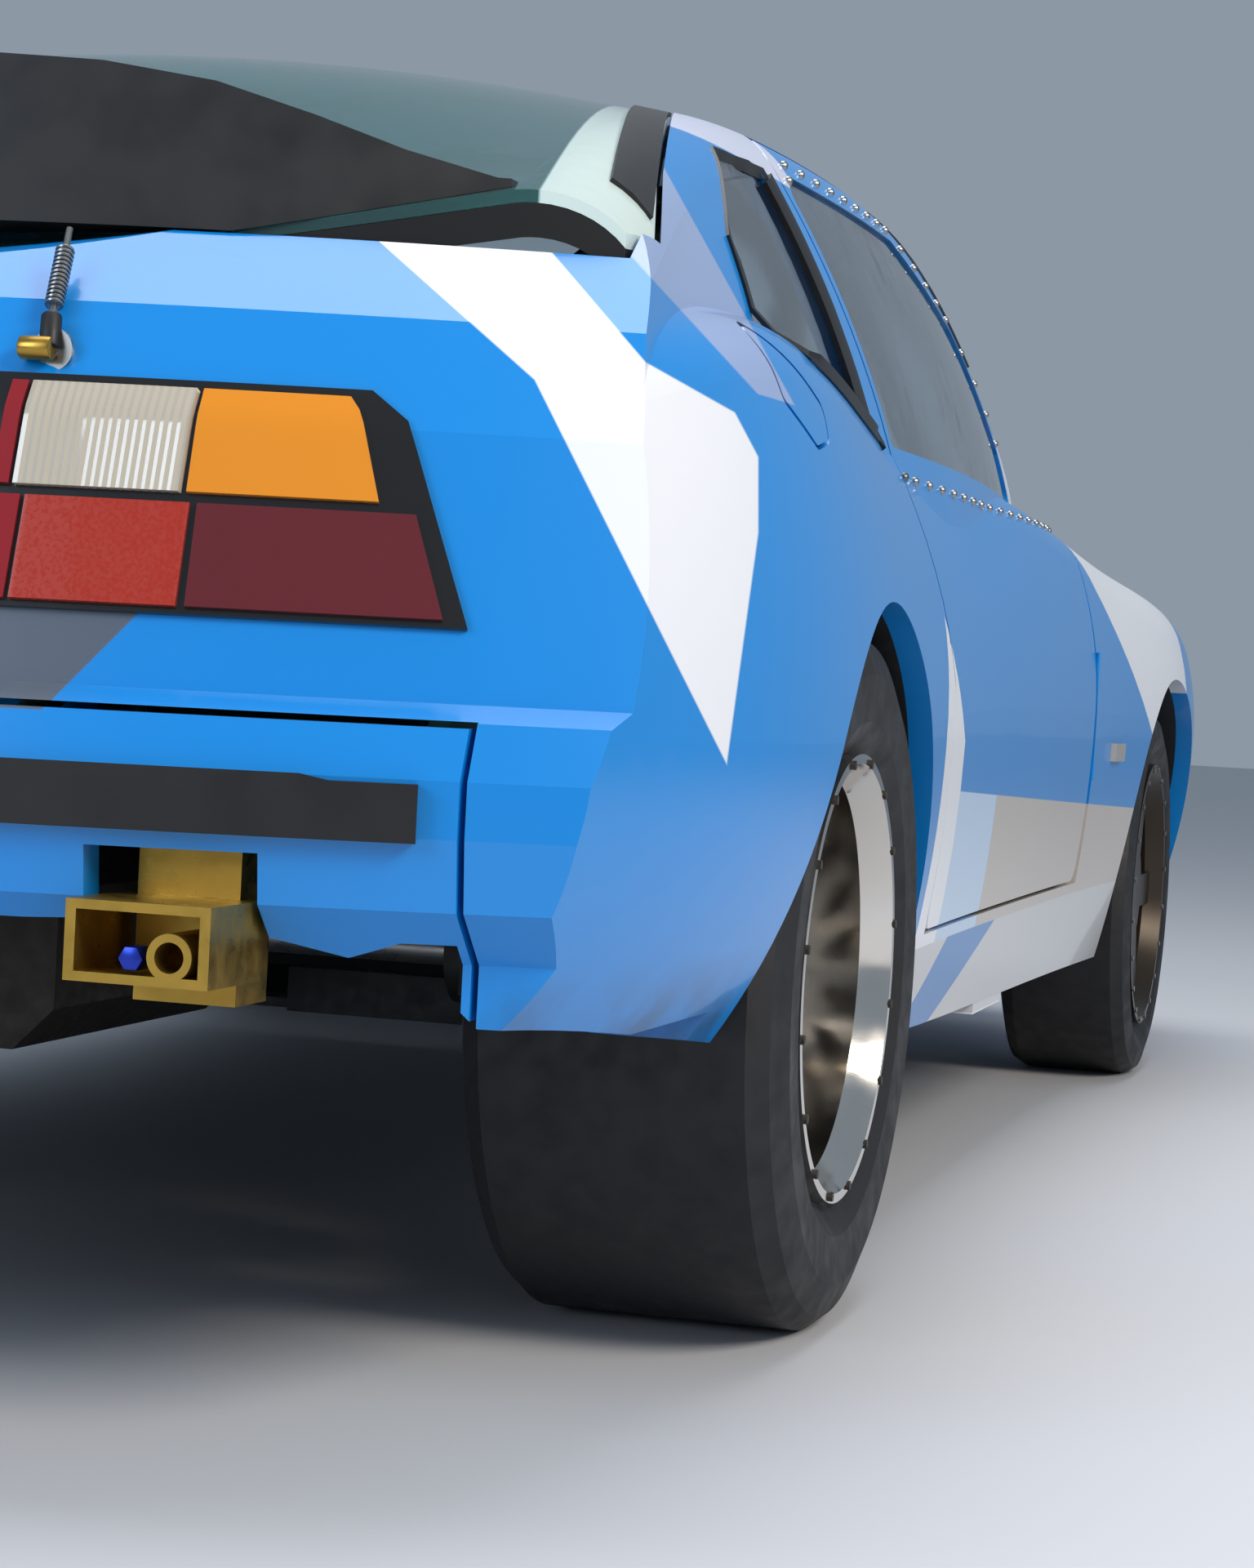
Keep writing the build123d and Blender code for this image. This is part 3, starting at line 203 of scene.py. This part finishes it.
def livery_paint(name, base_code):
    """Glossy paint with the stripes laid over the base colour one after another."""
    made = material(name, base_code, 0.28, coat=0.35)
    tree = made.node_tree
    place = add_node(tree, "ShaderNodeTexCoord").node.outputs["Object"]
    split = add_node(tree, "ShaderNodeSeparateXYZ", place).node
    side = add_node(tree, "ShaderNodeMath", split.outputs["Y"], operation="ABSOLUTE")
    side = add_node(tree, "ShaderNodeMath", side, -1.0, operation="MULTIPLY")
    folded = add_node(tree, "ShaderNodeCombineXYZ", split.outputs["X"], side, split.outputs["Z"])
    masks = {}

    def mask(plane):
        if plane not in masks:
            direction, distance = PLANES[plane]
            value = add_node(tree, "ShaderNodeVectorMath", folded, direction, operation="DOT_PRODUCT")
            value = value.node.outputs["Value"]
            masks[plane] = add_node(
                tree, "ShaderNodeMath", value, EDGE, 0.5 - EDGE * distance, operation="MULTIPLY_ADD", use_clamp=True
            )
        return masks[plane]

    colour = add_node(tree, "ShaderNodeRGB")
    colour.default_value = linear(base_code)
    for code, groups in LAYERS:
        inside = None
        for group in groups:
            either = mask(group[0])
            for other in group[1:]:
                either = add_node(tree, "ShaderNodeMath", either, mask(other), operation="MAXIMUM")
            inside = either if inside is None else add_node(
                tree, "ShaderNodeMath", inside, either, operation="MINIMUM"
            )
        colour = add_node(tree, "ShaderNodeMixRGB", inside, colour, linear(code))
    # Patchy darkening towards 2b2c2e on the tail, growing from 0.385 m high down to 0.29 m.
    grain = add_node(tree, "ShaderNodeTexNoise", place, None, 14.0, 6.0)
    dark_low_patches = add_node(tree, "ShaderNodeMapRange", grain, 0.42, 0.62, 0.0, 0.75)
    low = add_node(tree, "ShaderNodeMapRange", split.outputs["Z"], 0.29, 0.385, 1.0, 0.0)
    rear = mask("dark_patches_rear")
    dark_low_patches = add_node(tree, "ShaderNodeMath", dark_low_patches, low, operation="MULTIPLY")
    dark_low_patches = add_node(tree, "ShaderNodeMath", dark_low_patches, rear, operation="MULTIPLY")
    colour = add_node(tree, "ShaderNodeMixRGB", dark_low_patches, colour, linear("2b2c2e"))
    tree.links.new(colour, tree.nodes["Principled BSDF"].inputs["Base Color"])
    return made


car_paint = livery_paint("azure gloss paint", "0784d6")
print("layers of livery:", len(LAYERS))

# %% [markdown]
# ## Glass
# The hatch glass is tinted and has a pale printed border along its sides.

# %% Tinted glass
tinted_glass = material("tinted hatch glass", "7fc4c4", 0.03, transmission=0.9)
tree = tinted_glass.node_tree
place = add_node(tree, "ShaderNodeTexCoord").node.outputs["Object"]
split = add_node(tree, "ShaderNodeSeparateXYZ", place).node
side = add_node(tree, "ShaderNodeMath", split.outputs["Y"], operation="ABSOLUTE")
edge_line = add_node(tree, "ShaderNodeMath", split.outputs["X"], -0.2, 0.325, operation="MULTIPLY_ADD")
over = add_node(tree, "ShaderNodeMath", side, edge_line, operation="SUBTRACT")
border = add_node(tree, "ShaderNodeMath", over, 400.0, 0.5, operation="MULTIPLY_ADD", use_clamp=True)
tint = add_node(tree, "ShaderNodeMixRGB", border, linear("7fc4c4"), linear("d9ece8"))
shader = tree.nodes["Principled BSDF"]
tree.links.new(tint, shader.inputs["Base Color"])
clear = add_node(tree, "ShaderNodeMath", border, -0.75, 0.9, operation="MULTIPLY_ADD")
tree.links.new(clear, shader.inputs["Transmission Weight"])
print("glass ready")

# %% [markdown]
# ## Finishes of the CAD pieces
# Longer beginnings come first, so that a glass pane isn't taken for a door.

# %% Finishes of the CAD pieces
FINISHES = (
    ("door_glass", acrylic), ("quarter_glass", acrylic), ("windscreen", acrylic), ("hatch_glass", tinted_glass),
    ("hatch_frame", seal_rubber), ("tyre", slick_rubber), ("rim_front", bronze_alloy),
    ("rim_rear", polished_alloy), ("rear_spoiler", moulded_rubber), ("roll_cage", black_steel),
    ("driver_seat", race_cloth), ("dashboard", dark_trim), ("steering_wheel", race_cloth),
    ("tow_bracket", gold_zinc), ("silencer", warm_steel), ("transaxle", cast_iron), ("engine_block", cast_iron),
    ("half_shafts", bare_steel), ("knuckle", cast_iron), ("front_suspension", black_steel),
    ("rear_suspension", black_steel), ("floor_pan", black_steel), ("wheel_tubs", black_steel),
    ("bulkhead", black_steel),
)
for name, piece in nodes.items():
    chosen = car_paint
    for start, finish in FINISHES:
        if name.startswith(start):
            chosen = finish
            break
    piece.data.materials.clear()
    piece.data.materials.append(chosen)
print("painted:", sum(p.data.materials[0] == car_paint for p in nodes.values()))

# %% [markdown]
# ## Making the visual pieces
# A ribbon is a grid that is laid out flat, pushed onto the bodywork and made
# solid. Small turned parts are cylinders. Everything is left at the origin with
# its place in its mesh.

# %% Piece makers
BEHIND = -2.4  # where rays towards the tail start
BESIDE = 1.2  # how far out rays towards a side start
ABOVE = 1.6  # where rays towards the roof and glass start


def settle(piece, name, finish, body, smooth=30.0):
    """Names a new piece, gives it its finish and lets it ride on a body."""
    piece.name = name
    piece.data.name = name
    bpy.ops.object.select_all(action="DESELECT")
    piece.select_set(True)
    bpy.context.view_layer.objects.active = piece
    bpy.ops.object.transform_apply(location=True, rotation=True, scale=True)
    bpy.ops.object.shade_smooth_by_angle(angle=math.radians(smooth))
    piece.data.materials.clear()
    piece.data.materials.append(finish)
    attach(piece, body)
    piece.select_set(False)
    return piece


def apply_modifier(piece, kind, **settings):
    """Adds a modifier and applies it at once."""
    bpy.ops.object.select_all(action="DESELECT")
    piece.select_set(True)
    bpy.context.view_layer.objects.active = piece
    added = piece.modifiers.new(kind.lower(), kind)
    for key, value in settings.items():
        setattr(added, key, value)
    bpy.ops.object.modifier_apply(modifier=added.name)


def widened(path, width):
    """Both edges of a flat path of that width."""
    low, high = [], []
    for i, point in enumerate(path):
        before = path[max(i - 1, 0)]
        after = path[min(i + 1, len(path) - 1)]
        run = (after[0] - before[0], after[1] - before[1])
        length = math.hypot(*run)
        across = (-run[1] / length * width / 2, run[0] / length * width / 2)
        low.append((point[0] - across[0], point[1] - across[1]))
        high.append((point[0] + across[0], point[1] + across[1]))
    return low, high


def dense(path, step=0.02):
    """The same path with points close together."""
    points = [path[0]]
    for start, end in zip(path, path[1:]):
        count = max(int(math.dist(start, end) / step), 1)
        for i in range(1, count + 1):
            t = i / count
            points.append(tuple(a + (b - a) * t for a, b in zip(start, end)))
    return points


def patch(
    name, low, high, axis, start, target, offset, thickness, finish, body, rows=2, ribs=0.0, smooth=30.0
):
    """A sheet between two edge paths, pushed along an axis onto a CAD piece and made solid.

    Where the axis meets nothing, the sheet keeps the depth of its nearest point that landed.
    """
    columns = len(low)
    bpy.ops.mesh.primitive_grid_add(x_subdivisions=columns - 1, y_subdivisions=rows - 1, size=1.0)
    piece = bpy.context.object
    flat = [i for i in range(3) if i != axis]
    for i, vertex in enumerate(piece.data.vertices):
        column, row = i % columns, i // columns
        t = row / (rows - 1)
        vertex.co[axis] = start
        for k in (0, 1):
            vertex.co[flat[k]] = low[column][k] * (1 - t) + high[column][k] * t
    goal = nodes[target]
    towards = 1.0 if start < 0 else -1.0
    bpy.context.view_layer.update()
    landed = {}
    for i, vertex in enumerate(piece.data.vertices):
        column = i % columns
        ray = [0.0, 0.0, 0.0]
        ray[axis] = towards
        found, place, _, _ = goal.ray_cast(vertex.co, ray)
        if found:
            vertex.co[axis] = place[axis] - towards * (offset + (ribs if column % 2 else 0.0))
            landed[i] = vertex.co.copy()
    for i, vertex in enumerate(piece.data.vertices):
        if i not in landed:
            near = min(
                landed.values(),
                key=lambda c: (c[flat[0]] - vertex.co[flat[0]]) ** 2 + (c[flat[1]] - vertex.co[flat[1]]) ** 2,
            )
            vertex.co[axis] = near[axis]
    apply_modifier(piece, "SOLIDIFY", thickness=thickness, offset=0.0, use_even_offset=True)
    return settle(piece, name, finish, body, smooth)


def ribbon(name, path, width, axis, start, target, offset, thickness, finish, body, rows=3):
    """A narrow patch that follows a flat path."""
    low, high = widened(dense(path), width)
    return patch(name, low, high, axis, start, target, offset, thickness, finish, body, rows)


def rod(name, start, end, radius, finish, body, sides=20, bevel=0.0):
    """A round bar between two points."""
    run = [b - a for a, b in zip(start, end)]
    length = math.sqrt(sum(r * r for r in run))
    middle = [(a + b) / 2 for a, b in zip(start, end)]
    bpy.ops.mesh.primitive_cylinder_add(
        vertices=sides, radius=radius, depth=length, location=middle,
        rotation=(0, math.acos(run[2] / length), math.atan2(run[1], run[0])),
    )
    piece = bpy.context.object
    if bevel:
        apply_modifier(piece, "BEVEL", width=bevel, segments=2, limit_method="ANGLE")
    return settle(piece, name, finish, body)


def joined(pieces, name):
    """Several pieces made one object that rides on the first one's body."""
    bpy.ops.object.select_all(action="DESELECT")
    for piece in pieces:
        piece.select_set(True)
    bpy.context.view_layer.objects.active = pieces[0]
    bpy.ops.object.join()
    bpy.context.object.name = name
    bpy.ops.object.select_all(action="DESELECT")
    return pieces[0]


print("makers ready")

# %% [markdown]
# ## Tail lamps
# Each lamp has a black surround and four lenses. Seen on the tail, a point is
# its distance from the middle and its height.

# %% Tail lamps
LAMP_LOW = 0.629
LAMP_TOP = 0.802
LAMP_SPLIT = 0.715
LAMP_REACH = 0.692  # from the middle to the outer end, at its lowest
LAMP_LEAN = 0.40  # how far the end comes in for each metre up
LAMP_ROUND = 0.03  # height of the end's rounded top
LEAN_START = 0.48  # lens ends inside this stay upright
LEAN_SPAN = 0.21
LENSES = (
    ("inner_red", (0.345, 0.357), LAMP_SPLIT + 0.004, LAMP_TOP - 0.006, red_lens, 0.0),
    ("clear", (0.361, 0.480), LAMP_SPLIT + 0.004, LAMP_TOP - 0.006, clear_lens, 0.0012),
    ("amber", (0.486, 0.648), LAMP_SPLIT + 0.004, LAMP_TOP - 0.006, amber_lens, 0.0006),
    ("low_inner_red", (0.345, 0.367), LAMP_LOW + 0.006, LAMP_SPLIT - 0.004, red_lens, 0.0),
    ("reflector", (0.371, 0.490), LAMP_LOW + 0.006, LAMP_SPLIT - 0.004, reflector_lens, 0.0004),
    ("stop", (0.496, 0.676), LAMP_LOW + 0.006, LAMP_SPLIT - 0.004, deep_red_lens, 0.0),
)


def lamp_edge(height):
    """Distance from the middle of the lamp's outer end at a height."""
    lean = LAMP_REACH - (height - LAMP_LOW) * LAMP_LEAN
    drop = max(height - (LAMP_TOP - LAMP_ROUND), 0.0) / LAMP_ROUND
    return lean - 0.022 * (1 - math.sqrt(max(1 - drop * drop, 0.0)))


def lamp_panel(
    name, side, near, far, low, high, finish, offset, thickness, ribs, columns
):
    """A lamp piece between two distances from the middle, leaning with the lamp's end."""
    rows = 9
    bpy.ops.mesh.primitive_grid_add(x_subdivisions=columns - 1, y_subdivisions=rows - 1, size=1.0)
    piece = bpy.context.object
    goal = nodes["rear_panel"]
    other = nodes["quarter_right" if side < 0 else "quarter_left"]
    reach = lamp_edge(LAMP_LOW)
    for i, vertex in enumerate(piece.data.vertices):
        column, row = i % columns, i // columns
        z = low + (high - low) * row / (rows - 1)
        t = column / (columns - 1)
        inward = reach - lamp_edge(z)
        lean_near = near - inward * max(near - LEAN_START, 0.0) / LEAN_SPAN
        lean_far = far - inward * max(far - LEAN_START, 0.0) / LEAN_SPAN
        y = side * (lean_near + (lean_far - lean_near) * t)
        best = None
        for target in (goal, other):
            found, place, _, _ = target.ray_cast((BEHIND, y, z), (1.0, 0.0, 0.0))
            if found and (best is None or place.x < best):
                best = place.x
        if best is None:
            best = -1.9
        vertex.co = (best - offset - (ribs if column % 2 else 0.0), y, z)
    apply_modifier(piece, "SOLIDIFY", thickness=thickness, offset=0.0)
    return settle(piece, name, finish, "root", 20.0)


for side_name, side in (("right", -1), ("left", 1)):
    lamp_panel(
        f"lamp_surround_{side_name}", side, 0.325, 0.690, LAMP_LOW, LAMP_TOP,
        lens_black, 0.002, 0.006, 0.0, 40,
    )
    for lens, (near, far), low, high, finish, ribs in LENSES:
        count = 40 if lens == "clear" else 30
        lamp_panel(
            f"lamp_{lens}_{side_name}", side, near, far, low, high, finish, 0.007, 0.006, ribs, count
        )
print("lamps made")

# %% [markdown]
# ## Rubber strip, seams and window trim

# %% Strips and seams
for side_name, side in (("right", -1), ("left", 1)):
    quarter = f"quarter_{side_name}"
    out = side * BESIDE
    top = [(side * y / 1000, 0.521 - 0.004 * (y > 600)) for y in range(0, 700, 20)]
    low = [(side * y / 1000, 0.475) for y in range(0, 700, 20)]
    strip = patch(
        f"bumper_strip_{side_name}", low, top, 0, BEHIND, "rear_bumper", 0.006, 0.013, moulded_rubber, "root", 6
    )
    for vertex in strip.data.vertices:
        vertex.co.x = max(vertex.co.x, cad_low[0])
    pillar = [(-0.949, 0.846), (-1.0, 0.97), (-1.053, 1.092)]
    frame_line = [(-1.053, 1.096), (-1.235, 1.088), (-1.345, 0.994), (-1.336, 0.893), (-0.955, 0.850)]
    ribbon(f"quarter_pillar_{side_name}", pillar, 0.034, 1, out, quarter, 0.002, 0.006, seal_rubber, "root")
    ribbon(f"quarter_seal_{side_name}", frame_line, 0.012, 1, out, quarter, 0.001, 0.004, seal_rubber, "root")
    gutter = [(-0.54, 1.190), (-0.3, 1.198), (0.05, 1.142), (0.30, 1.052)]
    ribbon(f"gutter_{side_name}", gutter, 0.012, 1, out, "roof", 0.0015, 0.004, seal_rubber, "root")
    edge = [(-0.62, side * 0.440), (-1.0, side * 0.556), (-1.5, side * 0.682), (-1.63, side * 0.715)]
    ribbon(f"hatch_seal_{side_name}", edge, 0.034, 2, ABOVE, "hatch_glass", 0.002, 0.005, seal_rubber, "hatch")
    high = [(0.655 + 0.01 * i, 0.541) for i in range(9)]
    under = [(0.655 + 0.01 * i, 0.515) for i in range(9)]
    patch(f"repeater_{side_name}", under, high, 1, out, f"wing_{side_name}", 0.004, 0.009, clear_lens, "root", 3)
print("strips made")

# %% [markdown]
# ## Rivets round the door window

# %% Rivets
WINDOW_LINE = [
    (-0.822, 0.822), (-0.935, 1.108), (-0.905, 1.128), (-0.300, 1.148), (0.085, 1.086), (0.410, 0.952),
    (0.452, 0.836), (-0.822, 0.822),
]
for side_name, side in (("right", -1), ("left", 1)):
    door = nodes[f"door_{side_name}"]
    heads = []
    for x, z in dense(WINDOW_LINE, 0.075):
        found, place, _, _ = door.ray_cast((x, side * BESIDE, z), (0.0, -side, 0.0))
        if found and abs(place.y) > 0.5:
            bpy.ops.mesh.primitive_uv_sphere_add(segments=10, ring_count=6, radius=0.0055, location=place)
            heads.append(bpy.context.object)
    for head in heads:
        head.data.materials.append(bare_steel)
    made = joined(heads, f"window_rivets_{side_name}")
    settle(made, f"window_rivets_{side_name}", bare_steel, f"door_{side_name}")
print("rivets made")

# %% [markdown]
# ## Wheels and hatch latches
# Screws sit round the lip of each rim. A spring, an eye bolt and a toggle hold
# the hatch down on each side of the tail.

# %% Rim screws and latches
SCREW_CIRCLE = 0.2045
COILS = 14
for body, x, z, count, finish in (
    ("wheel_rear_right", -1.16, 0.33, 16, cast_iron), ("wheel_rear_left", -1.16, 0.33, 16, cast_iron),
    ("wheel_front_right", 1.24, 0.293, 20, bare_steel), ("wheel_front_left", 1.24, 0.293, 20, bare_steel),
):
    side = -1 if body.endswith("right") else 1
    rim = nodes[body.replace("wheel", "rim")]
    heads = []
    for i in range(count):
        turn = 2 * math.pi * (i + 0.5) / count
        place = (x + SCREW_CIRCLE * math.cos(turn), z + SCREW_CIRCLE * math.sin(turn))
        found, spot, _, _ = rim.ray_cast((place[0], side * BESIDE, place[1]), (0.0, -side, 0.0))
        if found:
            outer = (spot[0], spot[1] + side * 0.003, spot[2])
            heads.append(rod("screw", spot, outer, 0.0045, finish, body, 10))
    if len(heads) > 1:
        joined(heads, f"rim_screws_{body}")
tail = nodes["rear_panel"]
for side_name, side in (("right", -1), ("left", 1)):
    _, foot, _, _ = tail.ray_cast((BEHIND, side * 0.366, 0.822), (1.0, 0.0, 0.0))
    _, knee, _, _ = tail.ray_cast((BEHIND, side * 0.362, 0.848), (1.0, 0.0, 0.0))
    top = (-1.902, side * 0.352, 0.918)
    parts = []
    foot = (foot[0] - 0.003, foot[1], foot[2])
    knee = (knee[0] - 0.016, knee[1], knee[2])
    parts.append(rod("tab", foot, (foot[0] - 0.004, foot[1], foot[2]), 0.016, bare_steel, "root", 24))
    parts.append(rod("rivet", foot, (foot[0] - 0.009, foot[1], foot[2]), 0.006, bare_steel, "root", 16))
    parts.append(rod("toggle", (foot[0] - 0.010, foot[1], foot[2]), knee, 0.008, black_steel, "root", 16, 0.002))
    parts.append(rod("hook", (foot[0] - 0.012, foot[1] + side * -0.022, foot[2]),
                     (foot[0] - 0.012, foot[1] + side * 0.004, foot[2]), 0.009, gold_zinc, "root", 16, 0.002))
    parts.append(rod("stem", knee, top, 0.0028, bare_steel, "root", 12))
    for i in range(COILS):
        t = 0.12 + 0.62 * i / (COILS - 1)
        spot = [a + (b - a) * t for a, b in zip(knee, top)]
        run = [b - a for a, b in zip(knee, top)]
        length = math.sqrt(sum(r * r for r in run))
        bpy.ops.mesh.primitive_torus_add(
            major_radius=0.0062, minor_radius=0.0013, major_segments=20, minor_segments=6, location=spot,
            rotation=(0, math.acos(run[2] / length), math.atan2(run[1], run[0])),
        )
        parts.append(settle(bpy.context.object, "coil", bare_steel, "root"))
    joined(parts, f"hatch_latch_{side_name}")
rod(
    "bracket_bolt", (-2.076, -0.506, 0.386), (-2.052, -0.506, 0.386), 0.0095,
    blue_anodised, "root", 6, 0.001,
)
print("latches made")

# %% [markdown]
# ## Stage, lights and camera
# The camera stands where the photographer stood, low behind the right corner.

# %% Stage and camera
bpy.ops.mesh.primitive_plane_add(size=60.0, location=(0, 0, 0))
floor = bpy.context.object
floor.name = "floor"
floor.data.materials.append(material("pale floor", "c9cbd0", 0.7))
floor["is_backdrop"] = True

world = bpy.data.worlds.new("soft sky")
bpy.context.scene.world = world
world.use_nodes = True
world.node_tree.nodes["Background"].inputs["Color"].default_value = linear("cfe0f2")
world.node_tree.nodes["Background"].inputs["Strength"].default_value = 0.42

LIGHTS = (
    ("key", (-3.5, -5.5, 4.5), (58, 0, -30), 2.5, 330.0, "fff4e6"),
    ("top", (0.0, 0.0, 5.5), (0, 0, 0), 4.0, 200.0, "ffffff"),
    ("tail", (-6.5, 2.5, 3.0), (62, 0, -110), 3.0, 170.0, "e6f1ff"),
)
for name, place, turn, size, power, code in LIGHTS:
    bpy.ops.object.light_add(type="AREA", location=place, rotation=[math.radians(a) for a in turn])
    lamp = bpy.context.object
    lamp.name = name
    lamp.data.size = size
    lamp.data.energy = power
    lamp.data.color = linear(code)[:3]

bpy.ops.object.camera_add()
camera = bpy.context.object
camera.name = "photo camera"
right = (0.26647872, -0.96241273, 0.05244833)
up = (0.01699851, 0.05910022, 0.99810732)
back = (-0.9636909, -0.26508282, 0.03210854)
turn = Matrix((right, up, back)).transposed().to_4x4()
camera.matrix_world = Matrix.Translation((-4.246, -1.457, 0.602)) @ turn
camera.data.sensor_fit = "VERTICAL"
camera.data.sensor_height = 36.0
camera.data.lens = 77.03
camera.data.clip_end = 200.0
scene = bpy.context.scene
scene.camera = camera
scene.render.resolution_x = 1536
scene.render.resolution_y = 1920
scene.view_settings.view_transform = "Standard"
print("camera set")

# %% [markdown]
# ## Sizes

# %% Sizes
low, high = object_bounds()
